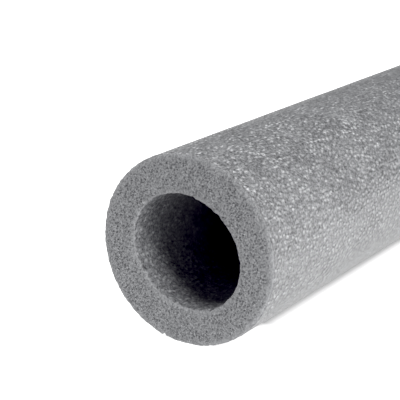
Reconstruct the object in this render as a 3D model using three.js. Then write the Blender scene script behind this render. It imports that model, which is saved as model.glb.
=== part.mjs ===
import * as THREE from 'three';

// Foam pipe lagging: one plain length of round closed-cell foam tube, cut square at both ends.
// It lies on the floor along X. Millimetres, +Z up, origin on the floor under mid-length.

// Driving dimensions
const LENGTH = 1000;
const PIPE_DIAMETER = 28;
const PIPE_CLEARANCE = 0.5; // all round the pipe, so that the tube slips over it
const WALL = 9;
const RIM_ROUND = 0.4; // rounding of the cut rims

// Resolution of the curved faces
const SIDES = 36;
const ROUND_STEPS = 2;

const boreRadius = PIPE_DIAMETER / 2 + PIPE_CLEARANCE;
const outerRadius = boreRadius + WALL;

// A flat side of the outline, not a corner, faces the floor.
const halfSide = Math.PI / SIDES;
const axisHeight = outerRadius * Math.cos(halfSide);

// The section is drawn in the plane across the tube, with x along +Y and y along +Z.
function tubeSection() {
  const section = new THREE.Shape();
  section.absarc(0, 0, outerRadius, halfSide, 2 * Math.PI + halfSide, false);
  const bore = new THREE.Path();
  bore.absarc(0, 0, boreRadius, halfSide, 2 * Math.PI + halfSide, false);
  section.holes.push(bore);
  return section;
}

function foamTube() {
  const geometry = new THREE.ExtrudeGeometry(tubeSection(), {
    depth: LENGTH - 2 * RIM_ROUND,
    curveSegments: SIDES / 2, // a full circle takes two sides for each segment
    bevelThickness: RIM_ROUND,
    bevelSize: RIM_ROUND,
    bevelOffset: -RIM_ROUND, // rounds the rims inwards and keeps the section's size
    bevelSegments: ROUND_STEPS,
  });
  geometry.translate(0, 0, RIM_ROUND - LENGTH / 2);
  const foam = new THREE.MeshStandardMaterial({ color: '#8c8d8f', roughness: 0.7, metalness: 0 });
  const tube = new THREE.Mesh(geometry, foam);
  tube.name = 'foam_tube';
  tube.rotation.set(Math.PI / 2, Math.PI / 2, 0); // turns the drawn x, y and depth to Y, Z and X
  tube.position.z = axisHeight;
  return tube;
}

const lagging = new THREE.Group();
lagging.add(foamTube());

export default lagging;
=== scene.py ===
import math
import random

import bpy
from mathutils import Matrix, Vector, noise
from mathutils.geometry import delaunay_2d_cdt


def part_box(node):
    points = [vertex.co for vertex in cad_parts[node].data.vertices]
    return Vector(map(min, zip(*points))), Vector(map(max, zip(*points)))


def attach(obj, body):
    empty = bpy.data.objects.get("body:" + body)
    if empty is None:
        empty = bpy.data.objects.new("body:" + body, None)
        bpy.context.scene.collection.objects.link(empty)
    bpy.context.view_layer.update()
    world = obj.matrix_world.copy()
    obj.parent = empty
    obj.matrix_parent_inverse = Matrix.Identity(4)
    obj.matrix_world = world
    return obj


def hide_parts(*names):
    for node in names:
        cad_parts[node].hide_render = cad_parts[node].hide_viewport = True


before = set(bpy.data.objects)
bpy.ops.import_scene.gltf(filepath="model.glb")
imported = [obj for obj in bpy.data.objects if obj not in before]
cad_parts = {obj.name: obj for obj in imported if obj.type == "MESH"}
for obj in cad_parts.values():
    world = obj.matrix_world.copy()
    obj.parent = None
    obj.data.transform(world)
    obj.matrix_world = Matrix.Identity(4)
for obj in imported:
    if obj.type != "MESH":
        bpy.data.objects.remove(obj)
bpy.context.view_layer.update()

# Foam pipe lagging: one closed mesh with real cells in its two cut ends, a pebbled skin and a bore.
# Metres, in the frame of the CAD part: the tube lies along X, its near end at -X, the floor at z = 0.

MM = 0.001
SEED = 11

# The tube, from the CAD part
CAD_SIDES = 36
tube_low, tube_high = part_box("foam_tube")
HALF_LENGTH = tube_high[0]
AXIS_HEIGHT = (tube_low[2] + tube_high[2]) / 2
OUTER_RADIUS = AXIS_HEIGHT / math.cos(math.pi / CAD_SIDES)
WALL = 9 * MM
BORE_RADIUS = OUTER_RADIUS - WALL

# The soft near end is swollen, off centre and out of round, which fades towards mid-length.
NEAR_END_LENGTH = 120 * MM
SKIN_SWELL = 0.28 * MM
SKIN_SHIFT = (0.3 * MM, -0.05 * MM)
SKIN_STRETCH = 0.0054
SKIN_LEAN = math.radians(16)
BORE_SWELL = -0.12 * MM
BORE_SHIFT = (0.37 * MM, -0.35 * MM)
BORE_STRETCH = 0.056
BORE_LEAN = math.radians(31)

# The rims that the knife left: how far they are rounded, and how ragged they are
SKIN_RIM_ROUND = 0.8 * MM
BORE_RIM_ROUND = 0.6 * MM
RIM_TURNS = [math.radians(turn) for turn in (45, 60, 75, 90)]
RIM_RAG = 0.2 * MM
RIM_RAG_LENGTH = 1.3 * MM
RIM_RAG_FADE = 3 * MM
FINE_RAG_LENGTH = RIM_RAG_LENGTH / 2.5
FINE_RAG_SHARE = 0.7

# Nicks of the near end's rims: where they are, how wide, how deep into the foam and how long
SKIN_NICKS = [(math.radians(-74), 0.9 * MM, 0.6 * MM, 2 * MM)]
BORE_NICKS = [
    (math.radians(97), 1.6 * MM, 0.3 * MM, 3 * MM),
    (math.radians(131), 1.8 * MM, 0.15 * MM, 3 * MM),
    (math.radians(-118), 2.4 * MM, 0.3 * MM, 3 * MM),
]

# Cells in the cut ends
CELL_PITCH = 0.78 * MM
CELL_JITTER = 0.4
CELL_DEPTH_LOW = 0.15 * MM
CELL_DEPTH_HIGH = 0.5 * MM
CELL_STEEPNESS = 1.0  # the most that a cell is deep, as a share of its distance from the nearer wall
CELL_MARGIN = 0.1 * MM
OUTER_BAND = 2.2 * MM  # the cells are shallower this near the skin
OUTER_SHALLOWER = 0.5
CREST_UNEVEN = 0.06 * MM
LONG_CELL_WALL = 0.25 * MM  # longer walls than this have a point midway
CUT_WAVE = 0.12 * MM
CUT_WAVE_LENGTH = 8 * MM
CUT_WAVE_FADE = 10 * MM

# Corners round the rims, which halve past each of these rings, and where the rings are
SKIN_SIDES = 396
BORE_SIDES = 252
HALVED_AFTER = (3, 7)
CLOSE_RINGS = [distance * MM for distance in (1.0, 1.6, 2.4, 3.5, 5.0, 7.0, 10.0)]
RING_STEP = 4.5 * MM

# Waviness of the walls
WAVE_FINE = 0.04 * MM
WAVE_FINE_LENGTH = 16 * MM
WAVE_LONG = 0.14 * MM
WAVE_LONG_LENGTH = 70 * MM
WAVE_LONG_FADE = 60 * MM


def wobble(point, length, seed):
    """Smooth noise from -1 to 1 that varies over about the given length."""
    return noise.noise(Vector(point) / length + Vector((seed, 2.3 * seed, -seed)))


def fade_in(distance, length):
    """0 at the end of the tube, rising smoothly to 1 at the given distance from it."""
    share = min(max(distance / length, 0), 1)
    return share * share * (3 - 2 * share)


def near_end(x):
    """1 at the near end of the tube, fading to 0 towards mid-length."""
    return 1 - fade_in(HALF_LENGTH + x, NEAR_END_LENGTH)


def rag(x, y, z):
    """The raggedness of a cut rim, which fades a few millimetres from the cut."""
    near_cut = 1 - fade_in(HALF_LENGTH - abs(x), RIM_RAG_FADE)
    coarse = wobble((x, y, z), RIM_RAG_LENGTH, seed=4)
    fine = wobble((x, y, z), FINE_RAG_LENGTH, seed=9)
    return RIM_RAG * near_cut * (coarse + FINE_RAG_SHARE * fine)


def cut_bulge(x, y, z):
    """How far the wavy cut moves a point along the tube."""
    near_cut = 1 - fade_in(HALF_LENGTH - abs(x), CUT_WAVE_FADE)
    side = math.copysign(1, x)
    return side * CUT_WAVE * near_cut * wobble((side, y, z), CUT_WAVE_LENGTH, seed=6)


class RoundWall:
    """The skin or the bore's wall: facing is 1 for the one that faces outwards and -1 for the other."""

    def __init__(self, radius, facing, swell, shift, stretch, lean, rim_round, nicks, wave_long, seed):
        self.radius = radius
        self.facing = facing
        self.swell = swell
        self.shift = shift
        self.stretch = stretch
        self.lean = lean
        self.rim_round = rim_round
        self.nicks = nicks
        self.wave_long = wave_long
        self.seed = seed

    def centre(self, x):
        return self.shift[0] * near_end(x), self.shift[1] * near_end(x)

    def nick_depth(self, x, angle):
        total = 0.0
        for middle, width, depth, reach in self.nicks:
            across = 2 * self.radius * math.remainder(angle - middle, 2 * math.pi) / width
            along = (HALF_LENGTH + x) / reach
            if abs(across) < 1 and along < 1:
                total += depth * (1 - across**2) * (1 - max(along, 0) ** 2)
        return total

    def reach(self, x, angle, inset=0.0):
        """The distance from the wall's centre to the wall, or to a place this far into the foam."""
        y = self.radius * math.cos(angle)
        z = self.radius * math.sin(angle)
        oval = self.radius * self.stretch * math.cos(2 * (angle - self.lean))
        inland = fade_in(HALF_LENGTH - abs(x), WAVE_LONG_FADE)
        waves = WAVE_FINE * wobble((x, y, z), WAVE_FINE_LENGTH, self.seed)
        waves += self.wave_long * inland * wobble((x, y, z), WAVE_LONG_LENGTH, self.seed + 1)
        into_foam = inset + self.nick_depth(x, angle)
        round_wall = self.radius + near_end(x) * (self.swell + oval)
        return round_wall + waves + rag(x, y, z) - self.facing * into_foam

    def point(self, x, angle, inset=0.0):
        """A place on the wall, or this far into the foam, in the plane across the tube."""
        centre_y, centre_z = self.centre(x)
        reach = self.reach(x, angle, inset)
        return centre_y + reach * math.cos(angle), centre_z + reach * math.sin(angle)

    def depth_from(self, ring):
        """A function that says how far into the foam a place of the cut lies from this ring of places."""
        centre = self.centre(math.copysign(HALF_LENGTH, ring[0][0]))
        reaches = [math.dist((y, z), centre) for _, y, z in ring]

        def depth(y, z):
            along = math.atan2(z - centre[1], y - centre[0]) / (2 * math.pi) % 1 * len(reaches)
            k = int(along) % len(reaches)
            reach = reaches[k] + (along - int(along)) * (reaches[(k + 1) % len(reaches)] - reaches[k])
            return self.facing * (reach - math.dist((y, z), centre))

        return depth

    def rim_inset(self, turn=RIM_TURNS[0]):
        """How far into the foam the rounded rim has turned this much from the cut."""
        return self.rim_round * (1 - math.sin(turn))

    def rounding(self, depth):
        """How far the rounded rim lies back from the cut, this far into the foam."""
        short = max(self.rim_round - depth, 0.0)
        return self.rim_round - math.sqrt(self.rim_round**2 - short**2)


SKIN_WALL = RoundWall(
    OUTER_RADIUS,
    facing=1,
    swell=SKIN_SWELL,
    shift=SKIN_SHIFT,
    stretch=SKIN_STRETCH,
    lean=SKIN_LEAN,
    rim_round=SKIN_RIM_ROUND,
    nicks=SKIN_NICKS,
    wave_long=WAVE_LONG,
    seed=3,
)
BORE_WALL = RoundWall(
    BORE_RADIUS,
    facing=-1,
    swell=BORE_SWELL,
    shift=BORE_SHIFT,
    stretch=BORE_STRETCH,
    lean=BORE_LEAN,
    rim_round=BORE_RIM_ROUND,
    nicks=BORE_NICKS,
    wave_long=0.0,
    seed=8,
)


class TubeMesh:
    """Collects the vertices and faces of the one closed mesh."""

    SKIN, CUT, BORE = range(3)

    def __init__(self):
        self.vertices = []
        self.relief = []
        self.faces = []
        self.looks = []

    def add_vertex(self, x, y, z, relief=0.0):
        """z is measured from the tube's axis. The soft underside is flat where it meets the floor."""
        self.vertices.append((x + cut_bulge(x, y, z), y, max(z + AXIS_HEIGHT, 0.0)))
        self.relief.append(relief)
        return len(self.vertices) - 1

    def add_face(self, corners, look, turned):
        self.faces.append(tuple(reversed(corners)) if turned else tuple(corners))
        self.looks.append(look)

    def add_ring(self, x, count, wall, inset=0.0, relief=0.0):
        ring = []
        for k in range(count):
            y, z = wall.point(x, 2 * math.pi * k / count, inset)
            ring.append(self.add_vertex(x, y, z, relief))
        return ring

    def join(self, low, high, look, turned):
        """Faces between two rings, which have as many corners or twice as many on one of them."""
        if len(low) < len(high):
            self.join(high, low, look, not turned)
            return
        for k, corner in enumerate(high):
            after = high[(k + 1) % len(high)]
            if len(low) == len(high):
                self.add_face((low[k], low[(k + 1) % len(low)], after, corner), look, turned)
                continue
            a, b, c = low[2 * k], low[2 * k + 1], low[(2 * k + 2) % len(low)]
            self.add_face((a, b, corner), look, turned)
            self.add_face((b, c, after), look, turned)
            self.add_face((b, after, corner), look, turned)


def ring_places():
    """Where the rings lie past the rims: close together at the ends, then evenly spaced."""
    near = [-HALF_LENGTH + distance for distance in CLOSE_RINGS]
    far = [HALF_LENGTH - distance for distance in reversed(CLOSE_RINGS)]
    steps = round((far[0] - near[-1]) / RING_STEP)
    between = [near[-1] + (far[0] - near[-1]) * k / steps for k in range(1, steps)]
    return near + between + far


def rim_rings(mesh, side, count, wall):
    """The rings of a rounded rim, from the cut face to the wall."""
    rings = []
    for turn in RIM_TURNS:
        inset = wall.rim_inset(turn)
        x = side * (HALF_LENGTH - wall.rounding(inset))
        rings.append(mesh.add_ring(x, count, wall, inset, relief=1.0))
    return rings


def build_wall(mesh, wall, count, look, turned):
    """The skin or the bore's wall, from rim to rim. Returns the first and the last ring."""
    places = ring_places()
    between = []
    for k, x in enumerate(places):
        from_end = min(k, len(places) - 1 - k)
        halvings = sum(from_end >= after for after in HALVED_AFTER)
        between.append(mesh.add_ring(x, count >> halvings, wall))
    near = rim_rings(mesh, -1, count, wall)
    far = rim_rings(mesh, 1, count, wall)[::-1]
    rings = near + between + far
    for k, (low, high) in enumerate(zip(rings, rings[1:])):
        at_cut = k in (0, len(rings) - 2)
        mesh.join(low, high, mesh.CUT if at_cut else look, turned)
    return rings[0], rings[-1]


def hexagonal_points(rng, pitch, reach):
    """Rows of points a pitch apart, each knocked a little off its place."""
    row_step = pitch * math.sqrt(3) / 2
    rows = int(reach / row_step) + 2
    for row in range(-rows, rows + 1):
        for column in range(-rows, rows + 1):
            yield (
                (column + 0.5 * (row % 2) + rng.uniform(-1, 1) * CELL_JITTER) * pitch,
                row * row_step + rng.uniform(-1, 1) * CELL_JITTER * pitch,
            )


def circle_centre(a, b, c):
    """The centre of the circle through three points."""
    twice = 2 * (a[0] * (b[1] - c[1]) + b[0] * (c[1] - a[1]) + c[0] * (a[1] - b[1]))
    aa, bb, cc = (p[0] ** 2 + p[1] ** 2 for p in (a, b, c))
    return (
        (aa * (b[1] - c[1]) + bb * (c[1] - a[1]) + cc * (a[1] - b[1])) / twice,
        (aa * (c[0] - b[0]) + bb * (a[0] - c[0]) + cc * (b[0] - a[0])) / twice,
    )


ALL_TRIANGLES = 0  # the kind of result, for the triangulation
MERGE_WITHIN = 1e-6  # points of the triangulation this near each other count as one, in millimetres


def triangles_of(points, loops):
    """Delaunay triangles of points, with the loops of point numbers as edges."""
    edges = [(loop[k - 1], loop[k]) for loop in loops for k in range(len(loop))]
    flat = [Vector((y / MM, z / MM)) for y, z in points]
    _, _, faces, came_from, _, _ = delaunay_2d_cdt(flat, edges, [], ALL_TRIANGLES, MERGE_WITHIN)
    number = [old[0] if old else None for old in came_from]
    return [tuple(number[i] for i in face) for face in faces]


def goes_round(corners, loop):
    """Whether three points of a loop follow each other in the loop's own direction."""
    a, b, c = (i - loop[0] for i in corners)
    return a < b < c or b < c < a or c < a < b


def cell_walls(cells, loops, rims):
    """The corners and the middles of the walls between the cells."""
    points = cells + rims
    corners = {}
    for triangle in triangles_of(points, loops):
        if max(triangle) >= len(cells):
            continue
        corner = circle_centre(*(points[i] for i in triangle))
        for k in range(3):
            pair = frozenset((triangle[k - 1], triangle[k]))
            corners.setdefault(pair, []).append(corner)
    crests = sorted({corner for ends in corners.values() for corner in ends})
    for ends in corners.values():
        if len(ends) == 2 and math.dist(*ends) > LONG_CELL_WALL:
            crests.append(((ends[0][0] + ends[1][0]) / 2, (ends[0][1] + ends[1][1]) / 2))
    return crests


def cut_end(mesh, side, skin_ring, bore_ring, seed):
    """The pitted face between the two rings. side is -1 at the near end and 1 at the far one."""
    rng = random.Random(seed)
    rim_numbers = skin_ring + bore_ring
    rims = [(x, y, z - AXIS_HEIGHT) for x, y, z in (mesh.vertices[i] for i in rim_numbers)]
    from_skin_ring = SKIN_WALL.depth_from(rims[:len(skin_ring)])
    from_bore_ring = BORE_WALL.depth_from(rims[len(skin_ring):])
    rims = [(y, z) for _, y, z in rims]

    def kept(points):
        return [p for p in points if min(from_skin_ring(*p), from_bore_ring(*p)) > CELL_MARGIN]

    def surface(y, z):
        """How far the cut's surface lies back from the end, and how near the skin it is, from 0 to 1."""
        from_skin = from_skin_ring(y, z) + SKIN_WALL.rim_inset()
        from_bore = from_bore_ring(y, z) + BORE_WALL.rim_inset()
        near_skin = max(1 - from_skin / OUTER_BAND, 0.0)
        return SKIN_WALL.rounding(from_skin) + BORE_WALL.rounding(from_bore), near_skin

    cells = kept(hexagonal_points(rng, CELL_PITCH, OUTER_RADIUS))
    first_rim = len(cells)
    skin_loop = range(first_rim, first_rim + len(skin_ring))
    bore_loop = range(skin_loop.stop, skin_loop.stop + len(bore_ring))
    loops = (skin_loop, bore_loop)
    crests = kept(cell_walls(cells, loops, rims))

    number = []
    for y, z in cells:
        back, near_skin = surface(y, z)
        depth = rng.uniform(CELL_DEPTH_LOW, CELL_DEPTH_HIGH) * (1 - OUTER_SHALLOWER * near_skin)
        depth = min(depth, CELL_STEEPNESS * min(from_skin_ring(y, z), from_bore_ring(y, z)))
        number.append(mesh.add_vertex(side * (HALF_LENGTH - back - depth), y, z, -depth / CELL_DEPTH_HIGH))
    number += rim_numbers
    for y, z in crests:
        back, near_skin = surface(y, z)
        back += rng.uniform(-1, 1) * CREST_UNEVEN
        number.append(mesh.add_vertex(side * (HALF_LENGTH - back), y, z, near_skin))
    for triangle in triangles_of(cells + rims + crests, loops):
        if all(i in bore_loop for i in triangle) and goes_round(triangle, bore_loop):
            continue
        if all(i in skin_loop for i in triangle) and not goes_round(triangle, skin_loop):
            continue
        mesh.add_face([number[i] for i in triangle], mesh.CUT, turned=side < 0)


def build_tube():
    mesh = TubeMesh()
    skin = build_wall(mesh, SKIN_WALL, SKIN_SIDES, mesh.SKIN, turned=False)
    bore = build_wall(mesh, BORE_WALL, BORE_SIDES, mesh.BORE, turned=True)
    cut_end(mesh, -1, skin[0], bore[0], SEED)
    cut_end(mesh, 1, skin[1], bore[1], SEED + 1)
    data = bpy.data.meshes.new("lagging_tube")
    data.from_pydata(mesh.vertices, [], mesh.faces)
    data.polygons.foreach_set("material_index", mesh.looks)
    data.polygons.foreach_set("use_smooth", [True] * len(mesh.faces))
    relief = data.attributes.new("relief", "FLOAT", "POINT")
    relief.data.foreach_set("value", mesh.relief)
    for material in (skin_material(), cut_material(), bore_material()):
        data.materials.append(material)
    tube = bpy.data.objects.new("lagging_tube", data)
    bpy.context.scene.collection.objects.link(tube)
    return tube


class Shader:
    """A material, with short calls that add and link its nodes."""

    FOAM_TINT = (0.985, 1.0, 1.025)

    def __init__(self, name):
        self.material = bpy.data.materials.new(name)
        self.material.use_nodes = True
        self.tree = self.material.node_tree
        self.surface = self.tree.nodes["Principled BSDF"]
        self.place = self.add("ShaderNodeTexCoord").outputs["Object"]
        parts = self.add("ShaderNodeSeparateXYZ")
        self.feed(parts.inputs["Vector"], self.place)
        self.x, self.y, self.z = parts.outputs

    def add(self, kind, **settings):
        node = self.tree.nodes.new(kind)
        for name, value in settings.items():
            setattr(node, name, value)
        return node

    def feed(self, socket, value):
        if isinstance(value, bpy.types.NodeSocket):
            self.tree.links.new(value, socket)
        else:
            socket.default_value = value

    def maths(self, operation, *values):
        node = self.add("ShaderNodeMath", operation=operation)
        for socket, value in zip(node.inputs, values):
            self.feed(socket, value)
        return node.outputs["Value"]

    def times(self, first, *others):
        """The product of the values."""
        for value in others:
            first = self.maths("MULTIPLY", first, value)
        return first

    def mix(self, *terms):
        """The sum of each value times its weight."""
        total = 0.0
        for value, weight in terms:
            total = self.maths("MULTIPLY_ADD", value, weight, total)
        return total

    def ramp(self, value, low, high, to_low, to_high):
        node = self.add("ShaderNodeMapRange")
        for socket, v in zip(node.inputs, (value, low, high, to_low, to_high)):
            self.feed(socket, v)
        return node.outputs["Result"]

    def relief(self):
        """The mesh's own record of a place: below 0 in a cell of the cut, and up to 1 towards a rim."""
        return self.add("ShaderNodeAttribute", attribute_name="relief").outputs["Fac"]

    def noise(self, length, detail=2.0):
        """Noise about 0 that varies over about the given length."""
        node = self.add("ShaderNodeTexNoise")
        self.feed(node.inputs["Vector"], self.place)
        node.inputs["Scale"].default_value = 1 / length
        node.inputs["Detail"].default_value = detail
        return self.maths("SUBTRACT", node.outputs["Fac"], 0.5)

    def from_cut(self):
        """The distance from the nearer end of the tube."""
        return self.maths("SUBTRACT", HALF_LENGTH, self.maths("ABSOLUTE", self.x))

    def height(self):
        """The height above the tube's axis."""
        return self.maths("SUBTRACT", self.z, AXIS_HEIGHT)

    def unrolled(self, radius):
        """Places on a round wall laid out flat, parted along the underside, and shorter along the tube."""
        turn = self.maths("ARCTAN2", self.y, self.height())
        flat = self.add("ShaderNodeCombineXYZ")
        self.feed(flat.inputs["X"], self.maths("DIVIDE", self.x, PEBBLE_STRETCH))
        self.feed(flat.inputs["Y"], self.times(turn, radius))
        return flat.outputs["Vector"]

    def domes(self, flat, pitch):
        """Rounded bumps from 0 to 1, a pitch apart, and a chance value for each."""
        node = self.add("ShaderNodeTexVoronoi", feature="F1", voronoi_dimensions="2D")
        self.feed(node.inputs["Vector"], flat)
        node.inputs["Scale"].default_value = 1 / pitch
        node.inputs["Randomness"].default_value = 1.0
        across = self.maths("DIVIDE", node.outputs["Distance"], PEBBLE_WIDTH / 2)
        foot = self.maths("MAXIMUM", self.maths("SUBTRACT", 1.0, self.times(across, across)), 0.0)
        chance = self.add("ShaderNodeSeparateColor")
        self.feed(chance.inputs["Color"], node.outputs["Color"])
        return self.times(foot, foot), chance.outputs["Red"]

    def colour(self, shade, level, darkest):
        """Foam grey of this level, with the shade added to it."""
        grey = self.maths("MAXIMUM", self.maths("ADD", shade, level), darkest)
        node = self.add("ShaderNodeCombineColor")
        for socket, share in zip(node.inputs, self.FOAM_TINT):
            self.feed(socket, self.times(grey, share))
        self.feed(self.surface.inputs["Base Color"], node.outputs["Color"])

    def roughness(self, value):
        self.feed(self.surface.inputs["Roughness"], value)

    def bump(self, height, depth):
        node = self.add("ShaderNodeBump")
        self.feed(node.inputs["Height"], height)
        node.inputs["Distance"].default_value = depth
        self.feed(self.surface.inputs["Normal"], node.outputs["Normal"])


# Pebbles of the skin and the bore
PEBBLE_PITCH = 1.15 * MM
PEBBLE_STRETCH = 1.5  # pebbles are longer along the tube
PEBBLE_WIDTH = 1.3  # as a share of the pitch
PEBBLE_HEIGHT = 0.25 * MM
PEBBLE_TALLNESS = (0.5, 1.15)  # of the flattest pebble and of the tallest
PEBBLE_POINT = 2.5  # the higher, the smaller the glints painted on the pebbles' tops
FINE_PEBBLE_PITCH = 0.75 * MM

# Lengths of the uneven spots, from wide patches to fine grain
SKIN_PATCH = 14 * MM
SKIN_CLUMP = 5 * MM
SKIN_SPOT = 4 * MM
CUT_PATCH = 5 * MM
BORE_SPOT = 3 * MM
GLOSS_SPOT = 0.8 * MM
GRAIN = 0.5 * MM
FINE_GRAIN = 0.4 * MM

# The skin: its pebbles stand in clumps, with glints painted on their tops, and they and its grain are
# strongest near the cuts; its rim has painted shading, lighter at and below the axis's height and darker
# at the top.
CLUMP_LOW = -0.15
CLUMP_HIGH = 0.15
CLUMP_STRENGTH = (0.45, 1.3)
SKIN_EVEN_FROM = 40 * MM
SKIN_EVEN_BEYOND = 160 * MM
SKIN_EVEN_SHARE = 0.65
FINE_PEBBLE_BUMP = 0.12
FINE_GRAIN_BUMP = 0.06
SKIN_LEVEL = 0.155
SKIN_DARKEST = 0.05
SKIN_PAINTED_GLINT = 0.34
SKIN_PATCH_SHADE = 0.09
SKIN_SPOT_SHADE = 0.1
SKIN_GRAIN_SHADE = 0.62
SKIN_RIM_PAINTED_SHADING = -0.04
SKIN_RIM_PAINTED_SHADING_SHARE = (-0.5, 1.0)  # of the rim's painted shading, at the height of the axis and at the top
SKIN_ROUGHNESS = (0.27, 0.4)
SKIN_SPECULAR = 1.0
GLOSS_SPREAD = 0.2
RIM_ROUGHER = 0.45

# The cut: painted shade makes its cells darker than their walls, and its rim darker towards the top, where
# the lamps face it; a touch of painted light makes its rim lighter.
CUT_LEVEL = 0.33
CUT_DARKEST = 0.03
CUT_PIT_PAINTED_SHADE = 0.07
CUT_RIM_PAINTED_LIGHT = 0.01
CUT_RIM_PAINTED_SHADE = -0.1
CUT_RIM_PAINTED_SHADE_SHARE = (0.2, 1.0)  # of the rim's painted shade, at the height of the axis and at the top
CUT_RIM_PAINTED_SHADE_NARROWNESS = 4.0
CUT_GRAIN_SHADE = 0.5
CUT_PATCH_SHADE = 0.06
CUT_BUMP = 0.12 * MM
CUT_ROUGHNESS = 0.75

# The bore: its pebbles, the glints painted on their tops and its grain are strongest near the cuts, and
# its rim is painted a touch lighter.
BORE_EVEN_FROM = 8 * MM
BORE_EVEN_BEYOND = 36 * MM
BORE_EVEN_SHARE = 0.15
BORE_PEBBLE_BUMP = 0.5
BORE_GRAIN_BUMP = 0.6
BORE_LEVEL = 0.21
BORE_DARKEST = 0.05
BORE_PAINTED_GLINT = 0.3
BORE_GRAIN_SHADE = 0.65
BORE_SPOT_SHADE = 0.15
BORE_RIM_PAINTED_LIGHT = 0.01
BORE_ROUGHNESS = 0.4


def skin_material():
    skin = Shader("foam_skin")
    flat = skin.unrolled(OUTER_RADIUS)
    domes, chance = skin.domes(flat, PEBBLE_PITCH)
    fine_domes, _ = skin.domes(flat, FINE_PEBBLE_PITCH)
    patches = skin.noise(SKIN_PATCH, detail=3.0)
    rim = skin.relief()
    tall = skin.times(domes, skin.ramp(chance, 0.0, 1.0, *PEBBLE_TALLNESS))
    near_cut = skin.ramp(skin.from_cut(), SKIN_EVEN_FROM, SKIN_EVEN_BEYOND, 1.0, SKIN_EVEN_SHARE)
    clumps = skin.ramp(skin.noise(SKIN_CLUMP, detail=3.0), CLUMP_LOW, CLUMP_HIGH, *CLUMP_STRENGTH)
    strength = skin.times(clumps, near_cut)
    fine_grain = skin.noise(FINE_GRAIN)
    height = skin.mix((tall, strength), (fine_domes, FINE_PEBBLE_BUMP), (fine_grain, FINE_GRAIN_BUMP))
    skin.bump(height, PEBBLE_HEIGHT)
    # The pebbles' tops are painted paler: painted glints.
    painted_glints = skin.times(skin.maths("POWER", domes, PEBBLE_POINT), skin.times(chance, strength))
    spots = skin.noise(SKIN_SPOT)
    grain = skin.times(skin.noise(GRAIN), near_cut)
    # Painted shading: the rim is painted lighter at and below the axis's height and darker towards the
    # top, where the lamps face it.
    rim_painted_shading = skin.times(rim, skin.ramp(skin.height(), 0.0, OUTER_RADIUS, *SKIN_RIM_PAINTED_SHADING_SHARE))
    shade = skin.mix(
        (painted_glints, SKIN_PAINTED_GLINT),
        (patches, SKIN_PATCH_SHADE),
        (spots, SKIN_SPOT_SHADE),
        (grain, SKIN_GRAIN_SHADE),
        (rim_painted_shading, SKIN_RIM_PAINTED_SHADING),
    )
    skin.colour(shade, SKIN_LEVEL, SKIN_DARKEST)
    uneven_gloss = skin.ramp(skin.noise(GLOSS_SPOT), -GLOSS_SPREAD, GLOSS_SPREAD, *SKIN_ROUGHNESS)
    skin.roughness(skin.maths("MULTIPLY_ADD", rim, RIM_ROUGHER, uneven_gloss))
    skin.surface.inputs["Specular IOR Level"].default_value = SKIN_SPECULAR
    return skin.material


def cut_material():
    cut = Shader("foam_cut_face")
    grain = cut.noise(FINE_GRAIN)
    patches = cut.noise(CUT_PATCH, detail=3.0)
    relief = cut.relief()
    # Painted shade: the cells are painted darker than their walls.
    pits_painted_shade = cut.maths("MINIMUM", relief, 0.0)
    rim = cut.maths("MAXIMUM", relief, 0.0)
    # Painted shade: the outer rim is painted darker towards the top, where the lamps face it.
    rim_painted_shading_share = cut.ramp(cut.height(), 0.0, OUTER_RADIUS, *CUT_RIM_PAINTED_SHADE_SHARE)
    rim_painted_shading = cut.times(cut.maths("POWER", rim, CUT_RIM_PAINTED_SHADE_NARROWNESS), rim_painted_shading_share)
    # The rim is painted a touch lighter: painted light.
    shade = cut.mix(
        (pits_painted_shade, CUT_PIT_PAINTED_SHADE),
        (rim, CUT_RIM_PAINTED_LIGHT),
        (rim_painted_shading, CUT_RIM_PAINTED_SHADE),
        (grain, CUT_GRAIN_SHADE),
        (patches, CUT_PATCH_SHADE),
    )
    cut.colour(shade, CUT_LEVEL, CUT_DARKEST)
    cut.roughness(CUT_ROUGHNESS)
    cut.bump(grain, CUT_BUMP)
    return cut.material


def bore_material():
    bore = Shader("foam_bore_wall")
    domes, chance = bore.domes(bore.unrolled(BORE_RADIUS), PEBBLE_PITCH)
    near_cut = bore.ramp(bore.from_cut(), BORE_EVEN_FROM, BORE_EVEN_BEYOND, 1.0, BORE_EVEN_SHARE)
    # The pebbles' tops are painted paler near the mouth: painted glints.
    painted_glints = bore.times(bore.maths("POWER", domes, PEBBLE_POINT), chance, near_cut)
    grain = bore.times(bore.noise(GRAIN), near_cut)
    tall = bore.times(domes, near_cut)
    bore.bump(bore.mix((tall, BORE_PEBBLE_BUMP), (grain, BORE_GRAIN_BUMP)), PEBBLE_HEIGHT)
    # The rim is painted a touch lighter: painted light.
    shade = bore.mix(
        (painted_glints, BORE_PAINTED_GLINT),
        (grain, BORE_GRAIN_SHADE),
        (bore.noise(BORE_SPOT), BORE_SPOT_SHADE),
        (bore.relief(), BORE_RIM_PAINTED_LIGHT),
    )
    bore.colour(shade, BORE_LEVEL, BORE_DARKEST)
    bore.roughness(BORE_ROUGHNESS)
    return bore.material


# The camera, fitted to the photograph: the near end's centre, its distance, and the tube's direction.
IMAGE_SIZE = 400
FOCAL_PIXELS = 1397.6
END_PIXEL = (186.6, 251.3)
END_DISTANCE = 14.06 * OUTER_RADIUS
LOOKS_DOWN = math.radians(16.26)
TUBE_TURNS_RIGHT = math.radians(32.4)


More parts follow.
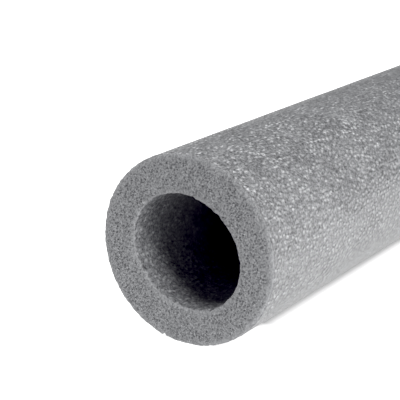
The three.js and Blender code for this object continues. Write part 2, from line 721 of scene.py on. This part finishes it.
def add_camera():
    data = bpy.data.cameras.new("camera")
    data.lens = FOCAL_PIXELS / IMAGE_SIZE * data.sensor_width
    data.clip_start = 10 * MM
    camera = bpy.data.objects.new("camera", data)
    bpy.context.scene.collection.objects.link(camera)
    level = Vector((math.cos(TUBE_TURNS_RIGHT), math.sin(TUBE_TURNS_RIGHT), 0))
    forward = math.cos(LOOKS_DOWN) * level - math.sin(LOOKS_DOWN) * Vector((0, 0, 1))
    right = forward.cross(Vector((0, 0, 1))).normalized()
    up = right.cross(forward)
    end = Vector((-HALF_LENGTH, 0, AXIS_HEIGHT))
    across = (END_PIXEL[0] - IMAGE_SIZE / 2) / FOCAL_PIXELS
    above = (IMAGE_SIZE / 2 - END_PIXEL[1]) / FOCAL_PIXELS
    place = end - END_DISTANCE * (forward + across * right + above * up)
    turn = Matrix((right, up, -forward)).transposed()
    camera.matrix_world = Matrix.Translation(place) @ turn.to_4x4()
    bpy.context.scene.camera = camera


# Lamps: name, direction from the place that they face, width in metres, power in watts
NEAR_AIM = (-HALF_LENGTH + 60 * MM, 0, AXIS_HEIGHT)
NEAR_DISTANCE = 1.4
NEAR_LIGHTS = [
    ("top_left_softbox", (0.0, 0.7, 0.7), 0.9, 19.0),
    ("top_softbox", (0.25, 0.0, 0.97), 0.6, 9.0),
    ("side_softbox", (0.0, -0.8, 0.6), 0.5, 1.8),
    ("far_side_softbox", (0.25, -0.85, 0.45), 0.5, 2.6),
    ("back_softbox", (0.6, -0.6, 0.53), 0.6, 2.6),
    ("low_back_softbox", (0.5, -0.85, 0.15), 0.6, 0.5),
    ("front_key", (-0.27, -0.7, 0.66), 0.4, 9.8),
    ("low_front_softbox", (-0.27, -0.95, 0.15), 0.5, 5.3),
]
FAR_AIM = (HALF_LENGTH, 0, AXIS_HEIGHT)
FAR_DISTANCE = 0.7
FAR_LIGHT = ("far_end_softbox", (0.8, -0.3, 0.5), 0.4, 1.5)


def add_light(name, direction, size, power, aim, distance, glossy=True):
    """A square lamp in this direction from the place that it faces."""
    data = bpy.data.lights.new(name, "AREA")
    data.size = size
    data.energy = power
    lamp = bpy.data.objects.new(name, data)
    lamp.visible_camera = False
    lamp.visible_glossy = glossy
    back = Vector(direction).normalized()
    turn = back.to_track_quat("Z", "Y").to_matrix().to_4x4()
    lamp.matrix_world = Matrix.Translation(Vector(aim) + distance * back) @ turn
    bpy.context.scene.collection.objects.link(lamp)


# The white floor, and the light that it casts on the tube
FLOOR_HALF = 8.0
FLOOR_GREY = (0.5, 0.5, 0.5, 1)
FLOOR_ROUGHNESS = 0.9
FLOOR_LEVEL = 0.95
FLOOR_LIGHT = 0.72
FLOOR_LIGHT_BEYOND = 0.22  # past the ends of the tube
FLOOR_LIGHT_FADE = 100 * MM

# The contact shadow: the floor looks darker this near the tube's middle line, a little inside its ends.
SHADE_LEVEL = 0.2
SHADE_INNER = 8.5 * MM
SHADE_OUTER = 12.8 * MM
SHADE_FROM_END = 22 * MM

# The white all round, the light that it casts, and how deep the picture's blacks are
WHITE = (1, 1, 1, 1)
SKY_LEVEL = 1.0
SKY_LIGHT = 0.1
BLACK_LEVEL = (0.0105, 0.0115, 0.0075)


def seen_or_cast(tree, seen, cast, socket):
    """Sets a strength to one value for what the camera sees and to another for the light that it casts."""
    choice = tree.nodes.new("ShaderNodeMapRange")
    tree.links.new(tree.nodes.new("ShaderNodeLightPath").outputs["Is Camera Ray"], choice.inputs["Value"])
    for name, value in (("To Min", cast), ("To Max", seen)):
        if isinstance(value, bpy.types.NodeSocket):
            tree.links.new(value, choice.inputs[name])
        else:
            choice.inputs[name].default_value = value
    tree.links.new(choice.outputs["Result"], socket)


def add_floor():
    data = bpy.data.meshes.new("floor")
    corners = [(-1, -1), (1, -1), (1, 1), (-1, 1)]
    data.from_pydata([(x * FLOOR_HALF, y * FLOOR_HALF, 0) for x, y in corners], [], [(0, 1, 2, 3)])
    floor = bpy.data.objects.new("floor", data)
    bpy.context.scene.collection.objects.link(floor)
    white = Shader("floor")
    past_end = white.maths("SUBTRACT", SHADE_FROM_END, white.from_cut())
    cast = white.ramp(white.from_cut(), -FLOOR_LIGHT_FADE, 0.0, FLOOR_LIGHT_BEYOND, FLOOR_LIGHT)
    aside = white.maths("ABSOLUTE", white.y)
    away = white.maths("ADD", white.maths("MAXIMUM", past_end, 0.0), aside)
    glow = white.ramp(away, SHADE_INNER, SHADE_OUTER, SHADE_LEVEL, FLOOR_LEVEL)
    white.surface.inputs["Base Color"].default_value = FLOOR_GREY
    white.roughness(FLOOR_ROUGHNESS)
    white.surface.inputs["Emission Color"].default_value = WHITE
    seen_or_cast(white.tree, glow, cast, white.surface.inputs["Emission Strength"])
    data.materials.append(white.material)


def add_sky():
    world = bpy.data.worlds.new("studio")
    world.use_nodes = True
    sky = world.node_tree.nodes["Background"]
    sky.inputs["Color"].default_value = WHITE
    seen_or_cast(world.node_tree, SKY_LEVEL, SKY_LIGHT, sky.inputs["Strength"])
    bpy.context.scene.world = world


def set_view():
    """Plain colours, with the blacks as deep as the photograph's."""
    view = bpy.context.scene.view_settings
    view.view_transform = "Standard"
    view.use_curve_mapping = True
    view.curve_mapping.black_level = BLACK_LEVEL
    view.curve_mapping.update()


tube = build_tube()
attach(tube, "root")
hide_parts("foam_tube")

add_camera()
add_floor()
add_sky()
for light in NEAR_LIGHTS:
    add_light(*light, NEAR_AIM, NEAR_DISTANCE)
add_light(*FAR_LIGHT, FAR_AIM, FAR_DISTANCE, glossy=False)
set_view()
